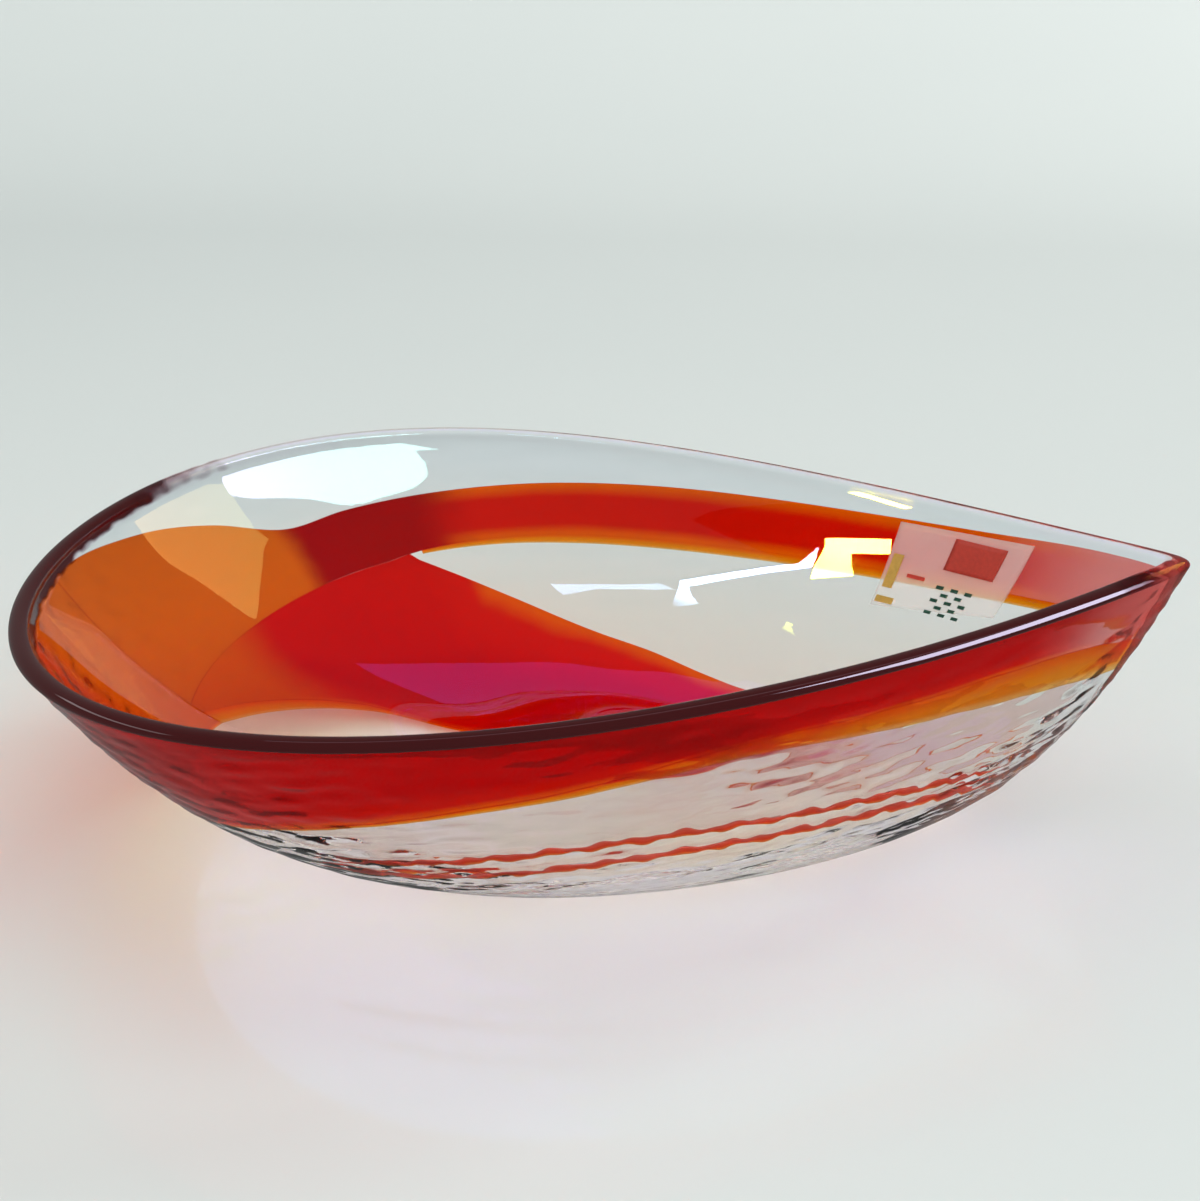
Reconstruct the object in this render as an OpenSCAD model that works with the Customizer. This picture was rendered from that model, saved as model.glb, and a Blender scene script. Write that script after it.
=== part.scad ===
// Cased art glass bowl, pointed at one end, built up in layers from the outside in.
// Origin: middle of the ground foot, +X towards the pointed tip, +Z up.

/* [Bowl] */
// Overall length from the round end to the tip
bowl_l = 280; // [240:1:300]
// Overall width across the rim
bowl_w = 195; // [168:1:205]
// Mean height of the rim line
rim_z = 67; // [60:0.1:75]
// How much higher the tip stands than the mean
tip_rise = 5.5; // [0:0.5:10]
// Bluntness of the tip, 0 for a sharp point
tip_blunt = 0.12; // [0:0.01:0.2]
// Amount ground off underneath to make the flat foot
foot_cut = 0.6; // [0.4:0.1:1]

/* [Glass layers] */
// Depth of the clear outer casing
casing_t = 2; // [1.6:0.1:3]
// Depth of the colour layer, ribbons and clear filler
colour_t = 0.8; // [0.6:0.1:1.2]
// Depth of the smooth inner lining
lining_t = 1.2; // [0.8:0.1:2]
// Clearance kept on each face of a colour piece
layer_gap = 0.15; // [0.1:0.01:0.2]
// Height of the rounded lip above the wall
lip_h = 2; // [1:0.1:4]
// Angle at which the amethyst lip starts, along the back wall
lip_from = 150; // [130:5:170]
// Angle at which it ends, past the tip (360)
lip_to = 384; // [370:2:400]

/* [Sticker] */
// Thickness of the film and of each mark on it
film_t = 0.25; // [0.15:0.05:0.4]

/* [Hidden] */

// Angular step round the bowl, shared by every layer so that they nest
th_step = 6;
// Rows from the middle of the floor to the top of the wall
rows = 16;
// Radial fraction at which the flat middle of the floor ends
floor_r = 0.25;
// Exponent of the wall's rise
rise_n = 3.1;
// Radial fraction at the top of the wall, where the lip begins
top_r = 0.985;
// Place of the floor's middle along X
mid_x = 16;
// How much rounder the sections get from the rim to the floor
round_out = 1.5;
// Colour pieces stop this far inside the middle of the floor
hub_r = 0.01;
// Side clearance between neighbouring colour pieces, as a radial fraction
side_gap = 0.0015;

// The skins are laid out to radial fraction 1, a little above the lip's foot, so
// they are drawn this much larger than the finished bowl
overrun = 1.0155;
skin_l = bowl_l * overrun;
skin_w = bowl_w * overrun;

wall_t = casing_t + colour_t + lining_t;
// Outline of a level section: round at 180 degrees, pointed at 0. The point is only
// at the rim, and the sections get rounder towards the floor.
function blunt(r) = tip_blunt + round_out * max(1 - r, 0);
function outline(t, r) =
    sin(t) * (1 - 0.05 * cos(t)) * sqrt(pow(blunt(r), 2) + pow(sin(t / 2), 2));
widest = [for (r = [0:0.1:1]) [r, max([for (t = [60:1:130]) outline(t, r)])]];

function rim_x(t) = skin_l / 2 * cos(t);
function rim_y(t, r) = skin_w / 2 * outline(t, r) / lookup(r, widest);
function rim_h(t) = rim_z + tip_rise * cos(t) + 0.9 * cos(3 * t);
function rise(r) = pow(max(r - floor_r, 0) / (1 - floor_r), rise_n);

// Point on the surface lying d inside the outer skin. The long axis shrinks by
// 1.0 d at the round end and 1.6 d at the tip, which keeps the wall even there.
function inner_x(t, d) = rim_x(t) * (1 - 2.6 * d / skin_l) - 0.3 * d;
function inner_y(t, r, d) = rim_y(t, r) * (1 - 2 * d / skin_w);
function skin(t, r, d) = [
    mid_x + (inner_x(t, d) - mid_x) * r,
    inner_y(t, r, d) * r,
    d + (rim_h(t) - d) * rise(r) - foot_cut
];

// Edges of the colour, as radial fractions against the angle
function wall_up(t) = lookup(t, [
    [0, 0.978], [34, 0.977], [63, 0.962], [98, 0.939], [129, 0.908],
    [140, 0.899], [149, 0.93], [157, 0.949], [172, 0.971], [180, 0.978]
]);
function wall_low(t) = lookup(t, [
    [0, 0.915], [34, 0.903], [78, 0.874], [106, 0.853], [122, 0.836], [150, 0.8], [180, 0.77]
]);
function floor_up(t) = lookup(t, [
    [0, 0.86], [30, 0.75], [70, 0.605], [96, 0.698], [109, 0.765], [122, 0.836]
]);
function floor_low(t) = lookup(t, [
    [0, 0.72], [15, 0.55], [30, 0.3], [60, 0.14], [100, 0.14], [130, 0.25],
    [146, 0.42], [151, 0.528], [156, 0.583], [162, 0.629], [169, 0.67], [180, 0.72]
]);
function front_low(t) = lookup(t, [
    [180, 0.72], [210, 0.785], [243, 0.865], [262, 0.897],
    [288, 0.923], [318, 0.904], [342, 0.89], [360, 0.885]
]);
// Past this angle the floor ribbon runs up to the wall ribbon with no clear between
join_t = 122;
function floor_edge(t) = t < join_t ? floor_up(t) : wall_low(t);

// Width of each amber margin, as a radial fraction
function wall_amber(t) = lookup(t, [[0, 0.018], [100, 0.018], [120, 0.006], [126, 0]]);
function floor_amber(t) = 0.03;
function front_amber(t) = lookup(t, [[180, 0.012], [280, 0.015], [330, 0.04], [360, 0.03]]);

// The sticker: where it lies inside the back wall, near the tip
sticker_t0 = 36;
sticker_t1 = 55;
function sticker_low(t) = lookup(t, [[sticker_t0, 0.878], [sticker_t1, 0.851]]);
function sticker_up(t) = lookup(t, [[sticker_t0, 0.971], [sticker_t1, 0.964]]);
// Clearance under the film and under each mark
film_gap = 0.05;
// Dots along each side of the dotted square, and their spacing
dot_count = 5;
dot_pitch_t = 1.15;
dot_pitch_r = 0.0092;

function mix(a, b, f) = a + (b - a) * f;

// A closed block of nu by nv cells. grid(i, j, k) gives the corner, k = 0 outside.
function block_faces(nu, nv) =
    let (w = nv + 1, back = (nu + 1) * (nv + 1))
    concat(
        [for (i = [0:nu - 1], j = [0:nv - 1]) let (a = i * w + j)
            each [[a, a + 1, a + w + 1], [a, a + w + 1, a + w]]],
        [for (i = [0:nu - 1], j = [0:nv - 1]) let (a = back + i * w + j)
            each [[a, a + w + 1, a + 1], [a, a + w, a + w + 1]]],
        [for (i = [0:nu - 1]) let (a = i * w)
            each [[a, a + w, back + a + w], [a, back + a + w, back + a]]],
        [for (i = [0:nu - 1]) let (a = i * w + nv)
            each [[a, back + a + w, a + w], [a, back + a, back + a + w]]],
        [for (j = [0:nv - 1]) let (a = j)
            each [[a, back + a + 1, a + 1], [a, back + a, back + a + 1]]],
        [for (j = [0:nv - 1]) let (a = nu * w + j)
            each [[a, a + 1, back + a + 1], [a, back + a + 1, back + a]]]
    );

// A piece of glass between two edges, two angles and two depths
module panel(t0, t1, low, up, d0, d1, nv = 2, step = th_step) {
    nu = max(1, round((t1 - t0) / step));
    pts = [
        for (d = [d0, d1], i = [0:nu], j = [0:nv])
            let (t = mix(t0, t1, i / nu))
            skin(t, mix(low(t) + side_gap, up(t) - side_gap, j / nv), d)
    ];
    polyhedron(pts, block_faces(nu, nv), convexity = 6);
}

// A colour piece, kept clear of the casing and of the lining
module colour_piece(t0, t1, low, up, nv = 2) {
    panel(t0, t1, low, up, casing_t + layer_gap, casing_t + colour_t - layer_gap, nv);
}

// A whole shell between two depths, closed over the floor and open at the top
module shell(d0, d1) {
    nt = 360 / th_step;
    ring = function(k, j) k * (rows * nt + 1) + 1 + (j - 1) * nt;
    pts = [
        for (k = [0, 1])
            let (d = k == 0 ? d0 : d1)
            each concat(
                [skin(0, 0, d)],
                [for (j = [1:rows], i = [0:nt - 1]) skin(i * th_step, top_r * j / rows, d)]
            )
    ];
    outer_hub = 0;
    inner_hub = rows * nt + 1;
    faces = concat(
        [for (i = [0:nt - 1]) let (n = (i + 1) % nt) [outer_hub, ring(0, 1) + i, ring(0, 1) + n]],
        [for (i = [0:nt - 1]) let (n = (i + 1) % nt) [inner_hub, ring(1, 1) + n, ring(1, 1) + i]],
        [for (j = [1:rows - 1], i = [0:nt - 1]) let (n = (i + 1) % nt, a = ring(0, j), b = ring(0, j + 1))
            each [[a + i, b + i, b + n], [a + i, b + n, a + n]]],
        [for (j = [1:rows - 1], i = [0:nt - 1]) let (n = (i + 1) % nt, a = ring(1, j), b = ring(1, j + 1))
            each [[a + i, b + n, b + i], [a + i, a + n, b + n]]],
        [for (i = [0:nt - 1]) let (n = (i + 1) % nt, a = ring(0, rows), b = ring(1, rows))
            each [[a + i, b + i, b + n], [a + i, b + n, a + n]]]
    );
    polyhedron(pts, faces, convexity = 8);
}

// Rounded lip standing on the top of the wall, from one angle to another
module lip(t0, t1) {
    nu = round((t1 - t0) / th_step);
    nv = 10;
    pts = concat(
        [for (i = [0:nu], j = [0:nv])
            let (
                t = mix(t0, t1, i / nu),
                out = skin(t, top_r, 0),
                in = skin(t, top_r, wall_t),
                a = 180 * j / nv
            )
            (out + in) / 2 + (out - in) / 2 * cos(a) * (1 + 0.25 * sin(a)) + [0, 0, lip_h * sin(a)]]
    );
    w = nv + 1;
    faces = concat(
        [for (i = [0:nu - 1], j = [0:nv - 1]) let (a = i * w + j)
            each [[a, a + 1, a + w + 1], [a, a + w + 1, a + w]]],
        [for (i = [0:nu - 1]) let (a = i * w)
            each [[a, a + w, a + w + nv], [a, a + w + nv, a + nv]]],
        [[for (j = [nv:-1:0]) j]],
        [[for (j = [0:nv]) nu * w + j]]
    );
    polyhedron(pts, faces, convexity = 6);
}

// A flat piece n thicknesses of film proud of the inside of the bowl
module label(t0, t1, low, up, n) {
    lift = wall_t + n * (film_t + film_gap);
    panel(t0, t1, low, up, lift + film_gap, lift + film_gap + film_t, 2, 2);
}

// A printed mark lying on the film, with its own range of angle and radial fraction
module mark(t0, t1, r0, r1) {
    label(t0, t1, function(t) r0, function(t) r1, 1);
}

module outer_casing() {
    color([0.82, 0.84, 0.83, 0.5])
        difference() {
            shell(0, casing_t);
            translate([-bowl_l, -bowl_w, -10])
                cube([2 * bowl_l, 2 * bowl_w, 10]);
        }
}

module inner_lining() {
    color([0.8, 0.84, 0.9, 0.5])
        shell(casing_t + colour_t, wall_t);
}

module lip_amethyst() {
    color([0.24, 0.13, 0.19])
        lip(lip_from, lip_to);
}

module lip_clear() {
    color([0.78, 0.76, 0.8])
        lip(lip_to - 360, lip_from);
}

module ribbon_wall() {
    color([0.78, 0.03, 0.02])
        colour_piece(0, 180, function(t) wall_low(t) + wall_amber(t), function(t) wall_up(t));
}

module ribbon_wall_amber() {
    color([0.9, 0.42, 0.02])
        colour_piece(0, 120, function(t) wall_low(t), function(t) wall_low(t) + wall_amber(t), 1);
}

module ribbon_floor() {
    color([0.72, 0.02, 0.04])
        colour_piece(0, 180, function(t) floor_low(t) + floor_amber(t), function(t) floor_edge(t), 6);
}

module ribbon_floor_amber() {
    color([0.9, 0.42, 0.02])
        colour_piece(0, 180, function(t) floor_low(t), function(t) floor_low(t) + floor_amber(t), 1);
}

module ribbon_front() {
    color([0.75, 0.02, 0.03])
        colour_piece(180, 360, function(t) front_low(t) + front_amber(t), function(t) top_r, 3);
}

module ribbon_front_amber() {
    color([0.9, 0.42, 0.02])
        colour_piece(180, 360, function(t) front_low(t), function(t) front_low(t) + front_amber(t), 1);
}

module clear_back_top() {
    color([0.8, 0.84, 0.86])
        colour_piece(0, 180, function(t) wall_up(t), function(t) top_r + 0.0005, 1);
}

module clear_wall_back() {
    color([0.8, 0.84, 0.86])
        colour_piece(0, 120, function(t) floor_up(t), function(t) wall_low(t), 4);
}

module clear_floor_back() {
    color([0.8, 0.84, 0.86])
        colour_piece(0, 180, function(t) hub_r, function(t) floor_low(t), 6);
}

module clear_floor_front() {
    color([0.8, 0.84, 0.86])
        colour_piece(180, 360, function(t) hub_r, function(t) front_low(t), 9);
}

module sticker_film() {
    color([0.92, 0.92, 0.9])
        label(sticker_t0, sticker_t1, function(t) sticker_low(t), function(t) sticker_up(t), 0);
}

module sticker_panel() {
    color([0.75, 0.12, 0.1])
        mark(39.3, 47, 0.922, 0.96);
}

module sticker_gold() {
    color([0.8, 0.62, 0.2]) {
        mark(53, 54.3, 0.88, 0.929);
        mark(52, 54.5, 0.857, 0.87);
    }
}

module sticker_stripe() {
    color([0.7, 0.12, 0.12])
        mark(49, 51.5, 0.9, 0.908);
}

// A square of dots in a plain chequer
module sticker_dots() {
    color([0.12, 0.3, 0.2])
        for (i = [0:dot_count - 1], j = [0:dot_count - 1])
            if ((i + j) % 2 == 0)
                let (t = 41.2 + i * dot_pitch_t, r = 0.858 + j * dot_pitch_r)
                    mark(t, t + 0.85 * dot_pitch_t, r, r + 0.85 * dot_pitch_r);
}

outer_casing();
inner_lining();
lip_amethyst();
lip_clear();
ribbon_wall();
ribbon_wall_amber();
ribbon_floor();
ribbon_floor_amber();
ribbon_front();
ribbon_front_amber();
clear_back_top();
clear_wall_back();
clear_floor_back();
clear_floor_front();
sticker_film();
sticker_panel();
sticker_gold();
sticker_stripe();
sticker_dots();
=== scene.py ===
"""Looks of the cased art glass bowl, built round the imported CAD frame. Metres, +Z up."""
import bpy
import math
import mathutils
import numpy as np
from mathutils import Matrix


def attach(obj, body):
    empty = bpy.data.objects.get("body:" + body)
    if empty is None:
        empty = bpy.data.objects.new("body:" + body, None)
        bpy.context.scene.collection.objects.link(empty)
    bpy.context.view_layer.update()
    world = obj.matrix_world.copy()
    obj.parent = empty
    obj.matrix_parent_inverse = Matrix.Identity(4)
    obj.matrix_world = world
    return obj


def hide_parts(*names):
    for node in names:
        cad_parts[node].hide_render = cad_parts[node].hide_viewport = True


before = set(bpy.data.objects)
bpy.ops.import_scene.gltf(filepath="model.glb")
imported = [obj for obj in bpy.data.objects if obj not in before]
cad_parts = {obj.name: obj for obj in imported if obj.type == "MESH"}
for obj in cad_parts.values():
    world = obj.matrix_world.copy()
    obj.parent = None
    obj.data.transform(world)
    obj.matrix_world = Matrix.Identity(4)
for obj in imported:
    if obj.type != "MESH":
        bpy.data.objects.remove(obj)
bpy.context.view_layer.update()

# ---------------------------------------------------------------- sizes
BOWL_L, BOWL_W = 0.280, 0.195
OVERRUN = 1.0155           # skins run this much past the finished rim
SKIN_L, SKIN_W = BOWL_L * OVERRUN, BOWL_W * OVERRUN
RIM_Z = 0.067              # mean height of the rim line
TIP_RISE = 0.0055
RIM_WAVE = 0.0009          # the rim dips and rises this much, three times round
TIP_BLUNT, ROUND_OUT = 0.12, 1.5
FOOT_CUT = 0.0006
FLOOR_R, RISE_N = 0.25, 3.1
TOP_R = 0.985              # radial fraction at the top of the wall
HUB_R = 0.004              # inside this radial fraction the glass closes in a fan
MID_X = 0.016
CASING_T, COLOUR_T, LINING_T = 0.002, 0.0008, 0.0012
WALL_T = CASING_T + COLOUR_T + LINING_T
LIP_H = 0.002
FILM_T, FILM_GAP = 0.00025, 0.00005
STICKER_T0, STICKER_T1 = 36, 55        # where the sticker lies, as angles
STICKER_MID_R = 0.915                  # and its middle, as a radial fraction
LAYER_GAP = 0.00015        # clearance of the coloured layer on either side
STAGE_Z = -0.0002          # the floor lies a hair below the foot, so that light gets under it


# ---------------------------------------------------------------- shape
# Angles run anticlockwise seen from above: 0 at the tip, 90 at the back, 180 at the round end.
def outline(t, r):
    """Outline of a level section. The point is only at the rim; lower down it gets rounder."""
    blunt = TIP_BLUNT + ROUND_OUT * np.maximum(1 - r, 0)
    return np.sin(t) * (1 - 0.05 * np.cos(t)) * np.sqrt(blunt**2 + np.sin(t / 2)**2)


R_STEPS = np.linspace(0, 1, 11)
WIDEST = outline(np.radians(np.arange(60, 131))[:, None], R_STEPS[None, :]).max(0)


def rim_h(t):
    """Height of the rim line, highest at the tip."""
    return RIM_Z + TIP_RISE * np.cos(t) + RIM_WAVE * np.cos(3 * t)


def skin(t_deg, r, d):
    """Points on the surface d inside the outer skin, at an angle and radial fraction.

    The long axis shrinks by 1.0 d at the round end and 1.6 d at the tip, which keeps the
    wall even there.
    """
    t = np.radians(t_deg)
    x = SKIN_L / 2 * np.cos(t) * (1 - 2.6 * d / SKIN_L) - 0.3 * d
    y = SKIN_W / 2 * outline(t, r) / np.interp(r, R_STEPS, WIDEST) * (1 - 2 * d / SKIN_W)
    rise = (np.maximum(r - FLOOR_R, 0) / (1 - FLOOR_R)) ** RISE_N
    return np.stack([
        MID_X + (x - MID_X) * r,
        y * r,
        d + (rim_h(t) - d) * rise - FOOT_CUT,
    ], -1)


def curve(t, knots):
    """A smooth line through a few (angle, value) points."""
    xs, ys = np.array(knots, float).T
    slopes = np.gradient(ys, xs)
    i = np.clip(np.searchsorted(xs, t) - 1, 0, len(xs) - 2)
    h = xs[i + 1] - xs[i]
    u = np.clip((t - xs[i]) / h, 0, 1)
    return ((2 * u**3 - 3 * u**2 + 1) * ys[i] + (u**3 - 2 * u**2 + u) * h * slopes[i]
            + (-2 * u**3 + 3 * u**2) * ys[i + 1] + (u**3 - u**2) * h * slopes[i + 1])


# Edges of the colour: radial fractions against the angle in degrees
def wall_up(t):
    line = curve(t, [(0, .978), (34, .978), (45, .972), (63, .962), (86, .948), (98, .938), (117, .919),
                     (129, .908), (139, .9), (149, .93), (157, .949), (165, .962), (173, .973), (180, .978)])
    return np.minimum(line, .98)


def wall_low(t):
    return curve(t, [(0, .915), (34, .903), (57, .89), (78, .874), (97, .86), (106, .853), (122, .836),
                     (150, .8), (180, .77)])


def floor_up(t):
    return curve(t, [(0, .86), (30, .75), (55, .625), (69, .603), (77, .625), (87, .667), (96, .698),
                     (109, .765), (122, .836)])


JOIN_T = 122               # past this angle the floor ribbon runs into the wall ribbon
SIDE_GAP, JOIN_GAP = 0.0008, 0.0001    # clearance above the floor ribbon, before and past it


def floor_edge(t):
    """Upper edge of the floor ribbon."""
    before = floor_up(np.minimum(t, JOIN_T)) - SIDE_GAP
    return np.where(t < JOIN_T, before, wall_low(t) + wall_amber(t) - JOIN_GAP)


def floor_low(t):
    return curve(t, [(0, .72), (15, .55), (30, .3), (60, .14), (100, .14), (130, .25), (146, .42),
                     (151, .528), (156, .583), (162, .629), (169, .67), (180, .72)])


def front_low(t):
    return curve(t, [(180, .72), (210, .785), (243, .865), (256, .889), (270, .906), (288, .923), (301, .914),
                     (318, .904), (342, .89), (360, .885)])


# Widths of the amber margins
def front_amber(t):
    return curve(t, [(180, .006), (262, .007), (290, .018), (330, .04), (360, .03)])


def wall_amber(t):
    return np.interp(t, [0, 100, 120, 126], [.012, .012, .005, 0])


FLOOR_AMBER = 0.03


# ---------------------------------------------------------------- meshes
def quads(nu, nv, wrap):
    """Faces of a grid of nu by nv points, the first direction closed if wrap."""
    i = np.arange(nu if wrap else nu - 1)[:, None]
    j = np.arange(nv - 1)[None, :]
    n = (i + 1) % nu
    return np.stack([i * nv + j, n * nv + j, n * nv + j + 1, i * nv + j + 1], -1).reshape(-1, 4)


def closed_sheet(nu, nv):
    """Faces of two grids of nu by nv points, one behind the other, joined round the edge."""
    face, n = quads(nu, nv, False), nu * nv
    faces = face.tolist() + (face[:, ::-1] + n).tolist()
    edge = ([(i, 0) for i in range(nu)] + [(nu - 1, j) for j in range(1, nv)]
            + [(i, nv - 1) for i in range(nu - 2, -1, -1)] + [(0, j) for j in range(nv - 2, 0, -1)])
    ids = [i * nv + j for i, j in edge]
    return faces + [[b, a, a + n, b + n] for a, b in zip(ids, ids[1:] + ids[:1])]


def make_piece(name, points, faces, materials, slots=None, values=None):
    """A smooth-shaded mesh object; values are numbers stored at its points by name."""
    mesh = bpy.data.meshes.new(name)
    mesh.from_pydata([tuple(p) for p in points.tolist()], [], [tuple(f) for f in faces])
    for m in materials:
        mesh.materials.append(m)
    if slots is not None:
        mesh.polygons.foreach_set("material_index", np.asarray(slots, np.int32))
    for key, data in (values or {}).items():
        layer = mesh.attributes.new(key, "FLOAT", "POINT")
        layer.data.foreach_set("value", np.asarray(data, np.float32))
    mesh.polygons.foreach_set("use_smooth", np.ones(len(mesh.polygons), bool))
    mesh.validate()
    mesh.update()
    piece = bpy.data.objects.new(name, mesh)
    bpy.context.scene.collection.objects.link(piece)
    return piece


WAVES = 9                  # waves in each octave of the noise


def ripple(p, seed, wave, octaves):
    """Smooth seeded noise at points p, a sum of tilted waves of falling size."""
    rng = np.random.default_rng(seed)
    total = np.zeros(p.shape[:-1])
    for o in range(octaves):
        for _ in range(WAVES):
            way = rng.normal(size=3)
            way[2] *= 1.6
            way /= np.linalg.norm(way)
            k = 2 * math.pi / (wave / 1.8**o) * rng.uniform(0.7, 1.35)
            total += np.sin(p @ way * k + rng.uniform(0, 2 * math.pi)) / WAVES**0.5 / 1.7**o
    return total


def outward(p):
    """Unit normals of a grid wrapped in its first direction."""
    du = np.roll(p, -1, 0) - np.roll(p, 1, 0)
    dv = np.gradient(p, axis=1)
    n = np.cross(du, dv)
    return n / np.maximum(np.linalg.norm(n, axis=-1, keepdims=True), 1e-12)


def lip_section(t, a, swell):
    """Rounded rim: a runs from 0 on the outside over the top to pi on the inside."""
    out, inn = skin(t, TOP_R, 0.0), skin(t, TOP_R, WALL_T)
    mid, half = (out + inn) / 2, (out - inn) / 2
    side = half * (np.cos(a) * (1 + 0.25 * np.sin(a)))[..., None]
    up = np.zeros_like(mid)
    up[..., 2] = LIP_H * np.sin(a)
    offset = side + up
    return mid + offset * (1 + swell / np.linalg.norm(half, axis=-1, keepdims=True))


NT, N_OUT, N_IN, N_LIP = 540, 230, 70, 16
HAMMER_WAVE, HAMMER_DEPTH = 0.0036, 0.00011
HAMMER_SQUEEZE = (0.32, 0.32, 1.0)      # below 1: the ridges run long in that direction
HAMMER_LOW, HAMMER_GROW = 0.001, 0.020  # heights where the ridges begin, and over which they grow
HAMMER_END = 0.02                       # they die out over this radial fraction under the rim
HAMMER_PATCH = 0.05                     # size of the areas where they are deeper or shallower
INNER_WAVE, INNER_DEPTH = 0.045, 0.00022
INNER_END, INNER_START = 0.08, 0.1      # radial fractions over which these die out, rim and middle


def build_glass(hammered, lustre):
    """One closed body of clear glass: hammered outside, rounded rim, smooth inside."""
    t = np.arange(NT)[:, None] * 360.0 / NT
    r_out = np.linspace(HUB_R, TOP_R, N_OUT)[None, :]
    outer = skin(t + 0 * r_out, r_out + 0 * t, 0.0)
    n = outward(outer)
    fade = (np.clip((outer[..., 2] - HAMMER_LOW) / HAMMER_GROW, 0, 1)
            * np.clip((TOP_R - r_out) / HAMMER_END, 0, 1))
    strength = np.clip(1.05 + 0.3 * ripple(outer, 5, HAMMER_PATCH, 1), 0.75, 1.5)
    bumps = ripple(outer * HAMMER_SQUEEZE, 3, HAMMER_WAVE, 2) * strength
    # Only cut inwards, so that the bumps never stand outside the CAD skin
    outer = outer - n * (HAMMER_DEPTH * (1.6 + bumps) * fade)[..., None]
    outer[..., 2] = np.maximum(outer[..., 2], 0.0)
    a = np.linspace(0, math.pi, N_LIP)[None, 1:-1]
    rim = lip_section(t + 0 * a, a + 0 * t, 0.0)
    r_in = np.linspace(TOP_R, HUB_R, N_IN)[None, :]
    inner = skin(t + 0 * r_in, r_in + 0 * t, WALL_T)
    soft = np.clip((TOP_R - r_in) / INNER_END, 0, 1) * np.clip(r_in / INNER_START, 0, 1)
    # The skin stays plain under the sticker, in an oval 44 degrees long
    from_sticker = np.hypot((t - (STICKER_T0 + STICKER_T1) / 2) / 22, (r_in - STICKER_MID_R) / 0.1)
    soft = soft * np.clip(from_sticker - 1, 0, 1)
    inner[..., 2] += INNER_DEPTH * ripple(inner, 8, INNER_WAVE, 2) * soft
    pts = np.concatenate([outer, rim, inner], 1)
    nv = pts.shape[1]
    flat = pts.reshape(-1, 3)
    low, high = pts[:, 0].mean(0), pts[:, -1].mean(0)
    flat = np.concatenate([flat, [low, high]])
    faces = quads(NT, nv, True).tolist()
    # Slot 0, hammered, up to the middle of the rim, and slot 1, lustre, from there inwards
    slots = [0 if (k % (nv - 1)) < N_OUT + N_LIP // 2 else 1 for k in range(len(faces))]
    hub_low, hub_high = NT * nv, NT * nv + 1
    for i in range(NT):
        k = (i + 1) % NT
        faces.append([hub_low, k * nv, i * nv])
        faces.append([hub_high, i * nv + nv - 1, k * nv + nv - 1])
        slots += [0, 1]
    piece = make_piece("bowl_glass", flat, faces, [hammered, lustre], slots)
    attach(piece, "root")
    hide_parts("outer_casing", "inner_lining", "lip_clear",
                "clear_back_top", "clear_wall_back", "clear_floor_back", "clear_floor_front")
    return piece


def build_panel(name, node, t0, t1, low, up, material, slot, d0, d1, nu, nv, shade=None):
    """A closed sheet between two edges and two depths, with its own place stored.

    shade(t, f) changes the stored place across, which picks the colour.
    """
    t = np.linspace(t0, t1, nu)
    f = np.linspace(0, 1, nv)
    lo, hi = low(t)[:, None], up(t)[:, None]
    r = lo + (hi - lo) * f[None, :]
    tt = np.repeat(t[:, None], nv, 1)
    front, back = skin(tt, r, d0), skin(tt, r, d1)
    pts = np.concatenate([front.reshape(-1, 3), back.reshape(-1, 3)])
    faces = closed_sheet(nu, nv)
    place = tt * 0 + f[None, :]
    if shade is not None:
        place = shade(tt, place)
    across = np.tile(place.reshape(-1), 2)
    along = np.tile(np.repeat(((t - t0) / (t1 - t0))[:, None], nv, 1).reshape(-1), 2)
    piece = make_piece(name, pts, faces, [material], None, {"across": across, "along": along})
    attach(piece, "root")
    if node is not None:
        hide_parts(node)
    return piece


# ---------------------------------------------------------------- materials
def new_material(name):
    """An empty node material: itself, its nodes, its links and its output."""
    mat = bpy.data.materials.new(name)
    mat.use_nodes = True
    nodes, links = mat.node_tree.nodes, mat.node_tree.links
    nodes.clear()
    out = nodes.new("ShaderNodeOutputMaterial")
    return mat, nodes, links, out


def principled(nodes, **values):
    """A Principled shader with the sockets given, named with _ for a space."""
    bsdf = nodes.new("ShaderNodeBsdfPrincipled")
    for key, value in values.items():
        bsdf.inputs[key.replace("_", " ")].default_value = value
    return bsdf


def lamp_through(nodes, links, out, shader, tint):
    """Let rays from lamps through, tinted, so that the floor is lit behind the glass."""
    clear = nodes.new("ShaderNodeBsdfTransparent")
    clear.inputs["Color"].default_value = tint
    path = nodes.new("ShaderNodeLightPath")
    mix = nodes.new("ShaderNodeMixShader")
    links.new(path.outputs["Is Shadow Ray"], mix.inputs[0])
    links.new(shader, mix.inputs[1])
    links.new(clear.outputs[0], mix.inputs[2])
    links.new(mix.outputs[0], out.inputs["Surface"])


def hammered_glass():
    """Outside skin: plain clear glass, a little grey; its ridges are in the mesh."""
    mat, nodes, links, out = new_material("clear_hammered_glass")
    bsdf = principled(nodes, Base_Color=(0.80, 0.815, 0.82, 1), Roughness=0.02, IOR=1.5,
                      Transmission_Weight=1.0, Specular_Tint=(0.1, 0.1, 0.1, 1))
    lamp_through(nodes, links, out, bsdf.outputs[0], (0.82, 0.825, 0.82, 1))
    return mat


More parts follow.
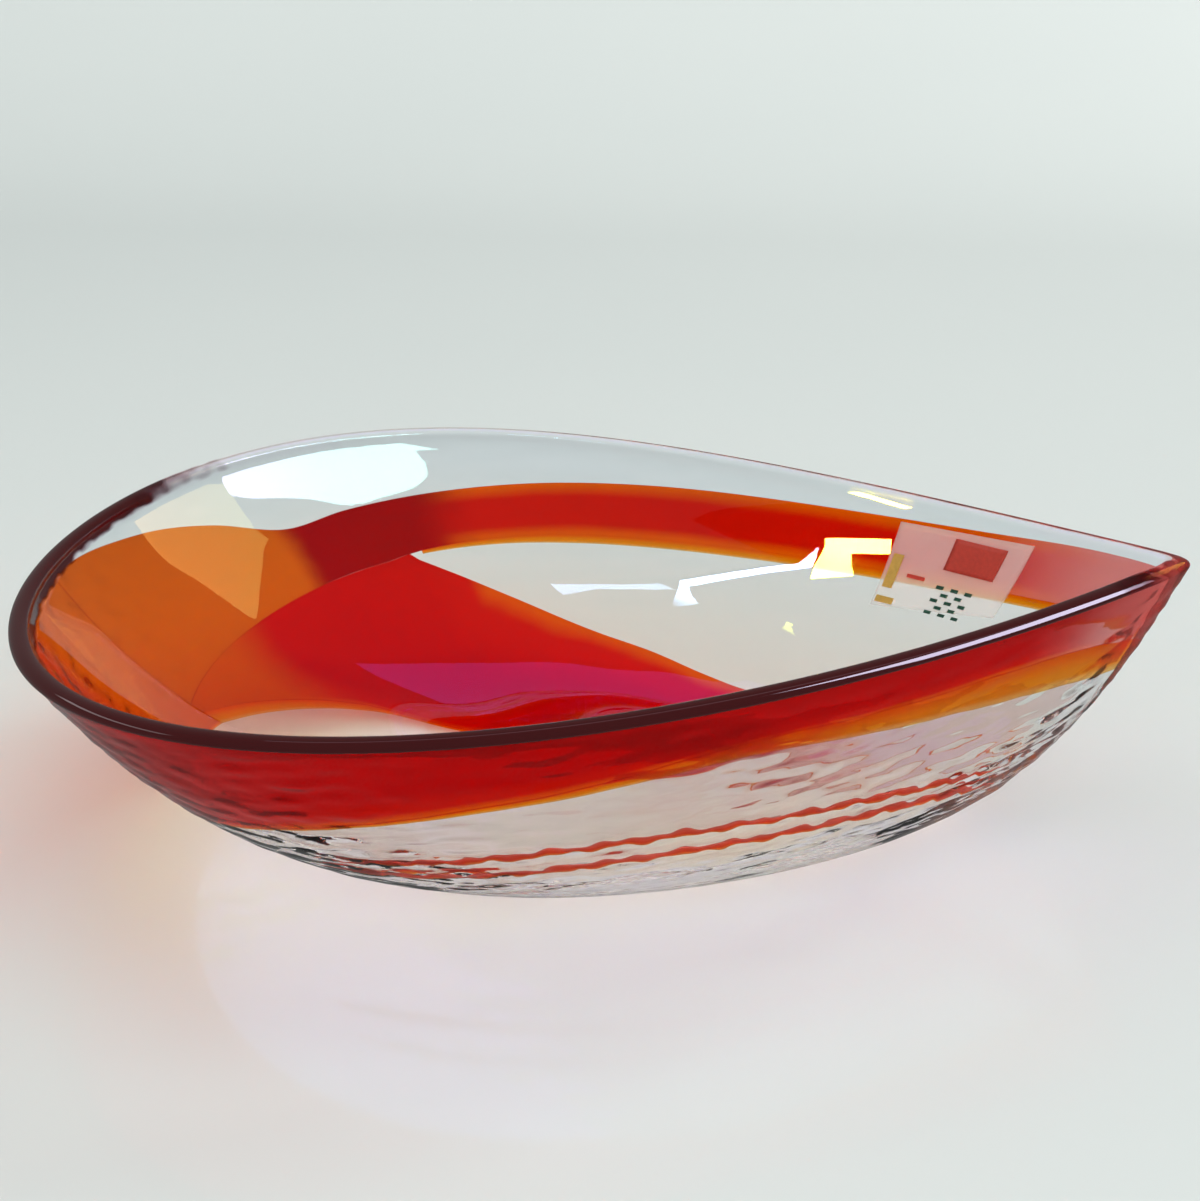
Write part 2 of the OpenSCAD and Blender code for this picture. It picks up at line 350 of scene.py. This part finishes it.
def lustre_glass():
    """Inside skin: fumed glass, with an interference film that varies over the bowl, and a tint whose blue
    towards the rim is a painted sheen.
    """
    mat, nodes, links, out = new_material("clear_lustre_glass")
    bsdf = principled(nodes, Roughness=0.015, IOR=1.5,
                      Transmission_Weight=1.0, Specular_Tint=(0.5, 0.5, 0.5, 1))
    place = nodes.new("ShaderNodeTexCoord")
    noise = nodes.new("ShaderNodeTexNoise")
    noise.inputs["Scale"].default_value = 9
    noise.inputs["Detail"].default_value = 2
    span = nodes.new("ShaderNodeMapRange")
    span.inputs["To Min"].default_value = 330
    span.inputs["To Max"].default_value = 430
    # Tint warm low down and bluer towards the rim; the blue is a painted sheen
    split = nodes.new("ShaderNodeSeparateXYZ")
    height = nodes.new("ShaderNodeMapRange")
    height.inputs["From Min"].default_value = 0.022
    height.inputs["From Max"].default_value = 0.056
    warm_tint_and_painted_sheen = nodes.new("ShaderNodeMixRGB")
    warm_tint_and_painted_sheen.inputs["Color1"].default_value = (1.0, 0.965, 0.85, 1)
    warm_tint_and_painted_sheen.inputs["Color2"].default_value = (0.86, 0.93, 1.0, 1)
    links.new(place.outputs["Object"], split.inputs["Vector"])
    links.new(split.outputs["Z"], height.inputs["Value"])
    links.new(height.outputs[0], warm_tint_and_painted_sheen.inputs["Fac"])
    links.new(warm_tint_and_painted_sheen.outputs["Color"], bsdf.inputs["Base Color"])
    links.new(place.outputs["Object"], noise.inputs["Vector"])
    links.new(noise.outputs["Fac"], span.inputs["Value"])
    links.new(span.outputs[0], bsdf.inputs["Thin Film Thickness"])
    bsdf.inputs["Thin Film IOR"].default_value = 1.6
    lamp_through(nodes, links, out, bsdf.outputs[0], (0.94, 0.95, 0.95, 1))
    return mat


def ribbon_glass(name, stops, body, turns=()):
    """Coloured glass inside clear glass: it filters light and adds a little body colour.

    stops are (place across, colour seen through both faces); turns are (start, end, colour)
    along the ribbon, where the gather thins and the colour changes.
    """
    mat, nodes, links, out = new_material(name)
    spot = nodes.new("ShaderNodeTexCoord")

    def wobbled(attribute, scale, amount):
        place = nodes.new("ShaderNodeAttribute")
        place.attribute_name = attribute
        noise = nodes.new("ShaderNodeTexNoise")
        noise.inputs["Scale"].default_value = scale
        noise.inputs["Detail"].default_value = 3
        shift = nodes.new("ShaderNodeMath")
        shift.operation = "MULTIPLY_ADD"
        shift.inputs[1].default_value = amount
        centre = nodes.new("ShaderNodeMath")
        centre.operation = "SUBTRACT"
        centre.inputs[1].default_value = amount / 2
        links.new(spot.outputs["Object"], noise.inputs["Vector"])
        links.new(noise.outputs["Fac"], shift.inputs[0])
        links.new(place.outputs["Fac"], shift.inputs[2])
        links.new(shift.outputs[0], centre.inputs[0])
        return centre.outputs[0]

    ramp = nodes.new("ShaderNodeValToRGB")
    ramp.color_ramp.interpolation = "EASE"
    while len(ramp.color_ramp.elements) < len(stops):
        ramp.color_ramp.elements.new(0.5)
    for element, (at, colour) in zip(ramp.color_ramp.elements, stops):
        element.position = at
        element.color = (*colour, 1)
    links.new(wobbled("across", 45, 0.10), ramp.inputs["Fac"])
    colour_out = ramp.outputs["Color"]
    for start, end, colour in turns:
        span = nodes.new("ShaderNodeMapRange")
        span.interpolation_type = "SMOOTHSTEP"
        span.inputs["From Min"].default_value = start
        span.inputs["From Max"].default_value = end
        turn = nodes.new("ShaderNodeMixRGB")
        turn.inputs["Color2"].default_value = (*colour, 1)
        links.new(wobbled("along", 28, 0.06), span.inputs["Value"])
        links.new(span.outputs[0], turn.inputs["Fac"])
        links.new(colour_out, turn.inputs["Color1"])
        colour_out = turn.outputs["Color"]
    root = nodes.new("ShaderNodeGamma")
    root.inputs["Gamma"].default_value = 0.5
    links.new(colour_out, root.inputs["Color"])
    filt = nodes.new("ShaderNodeBsdfTransparent")
    links.new(root.outputs["Color"], filt.inputs["Color"])
    solid = nodes.new("ShaderNodeBsdfDiffuse")
    links.new(colour_out, solid.inputs["Color"])
    mix = nodes.new("ShaderNodeMixShader")
    mix.inputs[0].default_value = body
    links.new(filt.outputs[0], mix.inputs[1])
    links.new(solid.outputs[0], mix.inputs[2])
    links.new(mix.outputs[0], out.inputs["Surface"])
    return mat


def satin_print(name, colour):
    """Satin ink with a fine dark speckle."""
    mat, nodes, links, out = new_material(name)
    bsdf = principled(nodes, Roughness=0.45)
    spot = nodes.new("ShaderNodeTexCoord")
    noise = nodes.new("ShaderNodeTexNoise")
    noise.inputs["Scale"].default_value = 900
    ramp = nodes.new("ShaderNodeValToRGB")
    dark = tuple(c * 0.88 for c in colour)
    for element, at, ink in zip(ramp.color_ramp.elements, (0.35, 0.65), (dark, colour)):
        element.position = at
        element.color = (*ink, 1)
    links.new(spot.outputs["Object"], noise.inputs["Vector"])
    links.new(noise.outputs["Fac"], ramp.inputs["Fac"])
    links.new(ramp.outputs["Color"], bsdf.inputs["Base Color"])
    links.new(bsdf.outputs[0], out.inputs["Surface"])
    return mat


def sticker_film(colour, cover):
    """White film, part see-through: cover is how much of it is white."""
    mat, nodes, links, out = new_material("sticker_film")
    white = nodes.new("ShaderNodeBsdfDiffuse")
    white.inputs["Color"].default_value = (*colour, 1)
    clear = nodes.new("ShaderNodeBsdfTransparent")
    mix = nodes.new("ShaderNodeMixShader")
    mix.inputs[0].default_value = 1 - math.sqrt(1 - cover)
    links.new(clear.outputs[0], mix.inputs[1])
    links.new(white.outputs[0], mix.inputs[2])
    links.new(mix.outputs[0], out.inputs["Surface"])
    return mat


def amethyst_glass():
    """Dark lip wrap, thinning through grey-lavender to clear where the stored fade falls."""
    mat, nodes, links, out = new_material("amethyst_glass")
    gloss = principled(nodes, Base_Color=(0.045, 0.001, 0.002, 1), Roughness=0.05, IOR=1.5)
    fade = nodes.new("ShaderNodeAttribute")
    fade.attribute_name = "fade"
    tint = nodes.new("ShaderNodeValToRGB")
    tint.color_ramp.elements[0].color = (1, 0.99, 1, 1)
    tint.color_ramp.elements[1].position = 0.8
    tint.color_ramp.elements[1].color = (0.30, 0.12, 0.17, 1)
    clear = nodes.new("ShaderNodeBsdfTransparent")
    cover = nodes.new("ShaderNodeMapRange")
    cover.interpolation_type = "SMOOTHSTEP"
    cover.inputs["From Min"].default_value = 0.35
    cover.inputs["From Max"].default_value = 0.85
    mix = nodes.new("ShaderNodeMixShader")
    links.new(fade.outputs["Fac"], tint.inputs["Fac"])
    links.new(tint.outputs["Color"], clear.inputs["Color"])
    links.new(fade.outputs["Fac"], cover.inputs["Value"])
    links.new(cover.outputs[0], mix.inputs[0])
    links.new(clear.outputs[0], mix.inputs[1])
    links.new(gloss.outputs[0], mix.inputs[2])
    links.new(mix.outputs[0], out.inputs["Surface"])
    return mat


# ---------------------------------------------------------------- object pieces
def build_lip(material):
    """Amethyst sheath over the rim and a little way down inside, ragged where it runs out."""
    t0, t1 = 126.0, 398.0
    nu, n_rim, n_in = 420, 20, 8
    t = np.linspace(t0, t1, nu)[:, None]
    a = np.linspace(0.02, math.pi, n_rim)[None, :]
    k = np.arange(1, n_in + 1)[None, :] / n_in
    # It reaches furthest down inside at the round end
    drop = 0.0025 + 0.0080 * np.exp(-((t - 190) / 34) ** 2)
    shell = []
    for swell in (0.0003, 0.00004):
        rim = lip_section(t + 0 * a, a + 0 * t, swell)
        inside = skin(t + 0 * k, TOP_R - drop * k, WALL_T + swell)
        shell.append(np.concatenate([rim, inside], 1))
    down = np.concatenate([a / math.pi * 0.5 + 0 * t, 0.5 + 0.5 * k + 0 * t], 1)
    rag = 0.22 * ripple(shell[1], 21, 0.007, 2)
    # The colour comes in at the back of the round end, and is gone before the tip
    start = np.clip((t - 142) / 20 - down * 0.3 + 0.5 * rag, 0, 1)
    finish = np.clip((346 - t) / 18 + 0.5 * rag, 0, 1)
    inner = np.clip(1.0 - np.clip((down - 0.62) / 0.38, 0, 1) * 1.05 + rag * (down > 0.52), 0, 1)
    fade = np.tile((start * finish * inner).reshape(-1), 2)
    pts = np.concatenate([s.reshape(-1, 3) for s in shell])
    piece = make_piece("lip_amethyst", pts, closed_sheet(nu, n_rim + n_in), [material], None, {"fade": fade})
    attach(piece, "root")
    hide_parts("lip_amethyst")
    return piece


RIBBON_STEPS = 181
JOIN_BLEND = 10            # degrees over which the edges that meet turn red


def build_ribbons():
    """Three red straps with amber margins, in the colour layer."""
    red, deep = (0.82, 0.008, 0.001), (0.72, 0.001, 0.001)
    orange, amber, pale = (0.96, 0.13, 0.001), (0.97, 0.31, 0.006), (0.97, 0.58, 0.16)
    tan, salmon, rose = (0.84, 0.15, 0.004), (0.94, 0.30, 0.27), (0.97, 0.80, 0.78)
    shadow, blush = (0.48, 0.001, 0.001), (0.93, 0.38, 0.36)
    red_wall = ribbon_glass("red_glass_wall", [(0.0, orange), (0.25, red), (0.72, red), (1.0, orange)],
                            0.10, [(0.60, 0.67, shadow), (0.755, 0.785, tan), (0.25, 0.12, salmon)])
    red_floor = ribbon_glass("red_glass_floor", [(0.0, orange), (0.12, red), (0.5, deep), (0.9, red),
                                                 (1.0, orange)],
                             0.10, [(0.84, 0.91, (0.84, 0.12, 0.003)), (0.36, 0.20, rose)])
    red_front = ribbon_glass("red_glass_front", [(0.0, orange), (0.14, red), (0.4, deep), (1.0, deep)], 0.10,
                             [(0.13, 0.04, tan), (0.76, 0.90, blush)])
    margin = ribbon_glass("amber_glass", [(0.0, pale), (0.3, amber), (1.0, orange)], 0.10)
    d0, d1 = CASING_T + LAYER_GAP, CASING_T + COLOUR_T - LAYER_GAP

    def joined(t):
        return np.clip((t - JOIN_T + JOIN_BLEND) / JOIN_BLEND, 0, 1)

    def wall_shade(t, f):
        return np.maximum(f, 0.45 * joined(t))

    def floor_shade(t, f):
        return np.minimum(f, 1 - 0.3 * joined(t))

    for name, t0, t1, low, up, mat, slot, nv, shade in (
        ("ribbon_wall", 0, 180, lambda t: wall_low(t) + wall_amber(t), wall_up,
         red_wall, "red_glass", 14, wall_shade),
        ("ribbon_wall_amber", 0, 120, wall_low, lambda t: wall_low(t) + wall_amber(t),
         margin, "amber_glass", 5, None),
        ("ribbon_floor", 0, 180, lambda t: floor_low(t) + FLOOR_AMBER, floor_edge,
         red_floor, "red_glass", 30, floor_shade),
        ("ribbon_floor_amber", 0, 180, floor_low, lambda t: floor_low(t) + FLOOR_AMBER,
         margin, "amber_glass", 5, None),
        ("ribbon_front", 180, 360, lambda t: front_low(t) + front_amber(t),
         lambda t: TOP_R + 0 * t, red_front, "red_glass", 14, None),
        ("ribbon_front_amber", 180, 360, front_low, lambda t: front_low(t) + front_amber(t),
         margin, "amber_glass", 5, None),
    ):
        build_panel(name, name, t0, t1, low, up, mat, slot, d0, d1, RIBBON_STEPS, nv, shade)


def build_front_streaks():
    """Two thin wavy red streaks low in the front wall, drawn in the colour layer."""
    streak_material = ribbon_glass("front_streak_glass", [(0.0, (0.95, 0.30, 0.04)), (0.35, (0.85, 0.06, 0.02)),
                                           (1.0, (0.85, 0.16, 0.12))], 0.35)
    for name, line, width in (
        ("front_streak_upper", [(240, .782), (262, .806), (276, .815), (295, .807), (316, .790),
                          (330, .776)], 0.0055),
        ("front_streak_lower", [(234, .748), (247, .748), (260, .757), (276, .771), (296, .768), (312, .761),
                          (334, .736)], 0.0075),
    ):
        ends = line[0][0], line[-1][0]

        def middle(t):
            return curve(t, line) + 0.0022 * np.sin(t * 0.9) + 0.0014 * np.sin(t * 2.1 + 1)

        def half(t):
            thin = np.clip((t - ends[0]) / 10, 0.06, 1) * np.clip((ends[1] - t) / 12, 0.06, 1)
            return width * thin * (1 + 0.35 * np.sin(t * 1.3))

        build_panel(name, None, *ends, lambda t: middle(t) - half(t), lambda t: middle(t) + half(t),
                    streak_material, "red_glass", CASING_T + LAYER_GAP, CASING_T + 0.0006, 200, 6)


def build_sticker():
    """A translucent film inside the bowl near the tip, with generic printed marks."""
    film = sticker_film((0.95, 0.94, 0.90), 0.46)
    red = satin_print("print_red", (0.55, 0.05, 0.03))
    gold = satin_print("print_gold", (0.62, 0.40, 0.08))
    green = satin_print("print_green", (0.012, 0.085, 0.055))
    t0, t1 = STICKER_T0, STICKER_T1
    first = WALL_T + FILM_GAP
    second = first + FILM_T + FILM_GAP
    build_panel("sticker_film", "sticker_film", t0, t1,
                lambda t: np.interp(t, [t0, t1], [.878, .851]),
                lambda t: np.interp(t, [t0, t1], [.971, .964]),
                film, "film", first, first + FILM_T, 24, 16)
    build_panel("sticker_panel", "sticker_panel", 39.3, 47, lambda t: .922 + 0 * t, lambda t: .96 + 0 * t,
                red, "print_red", second, second + FILM_T, 12, 8)
    for name, mat in (("sticker_gold", gold), ("sticker_stripe", red), ("sticker_dots", green)):
        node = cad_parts[name]
        node.data.materials.clear()
        node.data.materials.append(mat)


# ---------------------------------------------------------------- stage
def build_floor():
    """A pale floor that curves up into a backdrop, with no visible corner."""
    depth, bend, height, half = 0.55, 0.7, 1.6, 2.6
    ys = [-2.0, -0.8, 0.0, depth]
    line = [(y, STAGE_Z) for y in ys]
    for k in range(1, 25):
        a = k / 24 * math.pi / 2
        line.append((depth + bend * math.sin(a), STAGE_Z + bend - bend * math.cos(a)))
    line.append((depth + bend, bend + height))
    xs = np.linspace(-half, half, 9)
    pts = np.array([[(x, y, z) for y, z in line] for x in xs]).reshape(-1, 3)
    mat, nodes, links, out = new_material("pale_floor")
    bsdf = principled(nodes, Roughness=0.35, IOR=1.45, Coat_Weight=0.4, Coat_Roughness=0.07)
    spot = nodes.new("ShaderNodeTexCoord")
    noise = nodes.new("ShaderNodeTexNoise")
    noise.inputs["Scale"].default_value = 3
    ramp = nodes.new("ShaderNodeValToRGB")
    ramp.color_ramp.elements[0].color = (0.71, 0.74, 0.735, 1)
    ramp.color_ramp.elements[1].color = (0.75, 0.775, 0.765, 1)
    links.new(spot.outputs["Object"], noise.inputs["Vector"])
    links.new(noise.outputs["Fac"], ramp.inputs["Fac"])
    links.new(ramp.outputs["Color"], bsdf.inputs["Base Color"])
    links.new(bsdf.outputs[0], out.inputs["Surface"])
    floor = make_piece("studio_floor", pts, quads(len(xs), len(line), False).tolist(), [mat])
    # The floor and backdrop stay out of mirror reflections, which keeps the reds deep
    floor.visible_glossy = False


def area_light(name, centre, along, facing, size, power, colour, only=None):
    """A rectangular lamp: size[0] lies along the first direction given.

    With only, a collection, it is seen just as a reflection in the pieces of that
    collection; without it, it gives soft light and makes no reflection.
    """
    data = bpy.data.lights.new(name, "AREA")
    data.shape = "RECTANGLE"
    data.size, data.size_y = size
    data.energy = power
    data.color = colour
    lamp = bpy.data.objects.new(name, data)
    bpy.context.scene.collection.objects.link(lamp)
    back = -mathutils.Vector(facing).normalized()
    x_axis = mathutils.Vector(along)
    x_axis = (x_axis - back * x_axis.dot(back)).normalized()
    y_axis = back.cross(x_axis)
    turn = mathutils.Matrix((x_axis, y_axis, back)).transposed().to_4x4()
    lamp.matrix_world = mathutils.Matrix.Translation(centre) @ turn
    lamp.visible_camera = False
    lamp.visible_diffuse = only is None
    lamp.visible_glossy = only is not None
    lamp.visible_transmission = False
    if only is not None:
        lamp.light_linking.receiver_collection = only
    return lamp


STRIP_SPREAD = math.radians(50)


def build_lights(glass, lip):
    """Soft studio light, and lamps that are there only as reflections."""
    down = (0, 0, -1)
    # Soft light that shapes the bowl and the floor
    area_light("soft_top", (0.0, 0.1, 1.5), (1, 0, 0), down, (1.6, 1.3), 2.0, (1, 1, 0.98))
    area_light("soft_front", (0.3, -1.2, 0.9), (1, 0, 0), (-0.25, 1, -0.3), (1.2, 0.8), 1.3, (1, 1, 1))
    area_light("soft_side", (1.2, 0.95, 0.75), (0, 1, 0), (-1.2, -0.95, -0.7), (0.35, 0.35), 7,
               (1, 0.99, 0.96))
    # Windows, strips and a sky card, seen only in the glass or only in the lip
    in_glass = bpy.data.collections.new("glass_only")
    in_glass.objects.link(glass)
    in_lip = bpy.data.collections.new("lip_only")
    in_lip.objects.link(lip)
    area_light("window_front", (.313, -.441, .413), (.724, .672, .154), (-.430, .615, -.660),
               (1.0, 0.30), 21, (1, 0.94, 0.84), in_glass)
    area_light("window_side", (.465, .163, .494), (.221, -.975, .017), (-.86, -.2, -.47),
               (0.40, 0.27), 2.2, (1, 0.82, 0.14), in_glass)
    area_light("strip_high", (-.306, -.390, .386), (-.1975, .0095, -.357), (.33, .46, -.3),
               (0.33, 0.024), 0.42, (0.95, 0.72, 1), in_glass)
    # Two small strips inside the bowl: the wall hides anything lower than the rim
    strip_mid = area_light("strip_mid", (.0114, .0421, .0402), (.63, -.70, .34), (.77, .63, -.12),
                           (0.028, 0.0016), 0.0012, (0.92, 0.70, 1), in_glass)
    strip_warm = area_light("strip_warm", (.0035, .0130, .0463), (-.52, .82, -.20), (.83, .55, .10),
                            (0.0125, 0.0050), 0.0060, (1, 0.80, 0.05), in_glass)
    for strip in (strip_mid, strip_warm):
        strip.data.spread = STRIP_SPREAD
    sky_card = area_light("sky_card", (-.329, .301, .6), (.707, .707, 0), (.3, -.4, -1),
                          (0.82, 0.60), 2.4, (0.40, 0.22, 1), in_glass)
    sky_card.visible_transmission = True
    area_light("lip_line", (0.25, 0.1, 1.0), (1, 0, 0), down, (1.3, 0.10), 0.4, (0.95, 0.85, 1), in_lip)
    area_light("lip_side", (0.96, -0.23, 0.52), (0.2, 1, 0), (-0.87, 0.19, -0.45), (0.50, 0.75), 22,
               (0.82, 0.76, 1), in_lip)
    area_light("lip_left", (-0.8, -0.1, 0.5), (0, 1, 0), (1, 0.1, -0.5), (0.8, 0.12), 0.7,
               (1, 0.93, 0.95), in_lip)


WORLD_LEVEL, MIRROR_DIM = 1.08, 0.83   # brightness, and how much of it reflections lose


def build_world():
    """Even pale surroundings, dimmer in mirror reflections so that the reds stay deep."""
    world = bpy.data.worlds.new("studio")
    world.use_nodes = True
    nodes, links = world.node_tree.nodes, world.node_tree.links
    path = nodes.new("ShaderNodeLightPath")
    level = nodes.new("ShaderNodeMath")
    level.operation = "MULTIPLY_ADD"
    level.inputs[1].default_value = -MIRROR_DIM
    level.inputs[2].default_value = WORLD_LEVEL
    sky = nodes["Background"]
    sky.inputs["Color"].default_value = (0.86, 0.90, 0.885, 1)
    links.new(path.outputs["Is Glossy Ray"], level.inputs[0])
    links.new(level.outputs[0], sky.inputs["Strength"])
    bpy.context.scene.world = world


# Viewing angle, chosen from a group of views that fit the outline equally well
AZIMUTH, ELEVATION = math.radians(5), math.radians(24)
DISTANCE = 0.5359
AIM_RIGHT, AIM_UP = 0.0007, 0.0541
SENSOR, LENS = 36, 65.95


def build_camera():
    """The camera stands back from its target along the viewing angle."""
    back = mathutils.Vector((math.sin(AZIMUTH) * math.cos(ELEVATION),
                             -math.cos(AZIMUTH) * math.cos(ELEVATION), math.sin(ELEVATION)))
    right = mathutils.Vector((math.cos(AZIMUTH), math.sin(AZIMUTH), 0))
    target = right * AIM_RIGHT + mathutils.Vector((0, 0, AIM_UP))
    data = bpy.data.cameras.new("camera")
    data.sensor_width = SENSOR
    data.lens = LENS
    data.clip_start = 0.01
    cam = bpy.data.objects.new("camera", data)
    bpy.context.scene.collection.objects.link(cam)
    cam.location = target + back * DISTANCE
    cam.rotation_euler = (-back).to_track_quat("-Z", "Y").to_euler()
    bpy.context.scene.camera = cam


def set_quality():
    """Enough bounces to see through every layer of the bowl."""
    cycles = bpy.context.scene.cycles
    cycles.max_bounces = 24
    cycles.transmission_bounces = 16
    cycles.glossy_bounces = 8
    cycles.transparent_max_bounces = 32
    cycles.caustics_reflective = False
    cycles.caustics_refractive = True
    bpy.context.scene.view_settings.view_transform = "Standard"


glass = build_glass(hammered_glass(), lustre_glass())
lip = build_lip(amethyst_glass())
build_ribbons()
build_front_streaks()
build_sticker()
build_floor()
build_lights(glass, lip)
build_world()
build_camera()
set_quality()
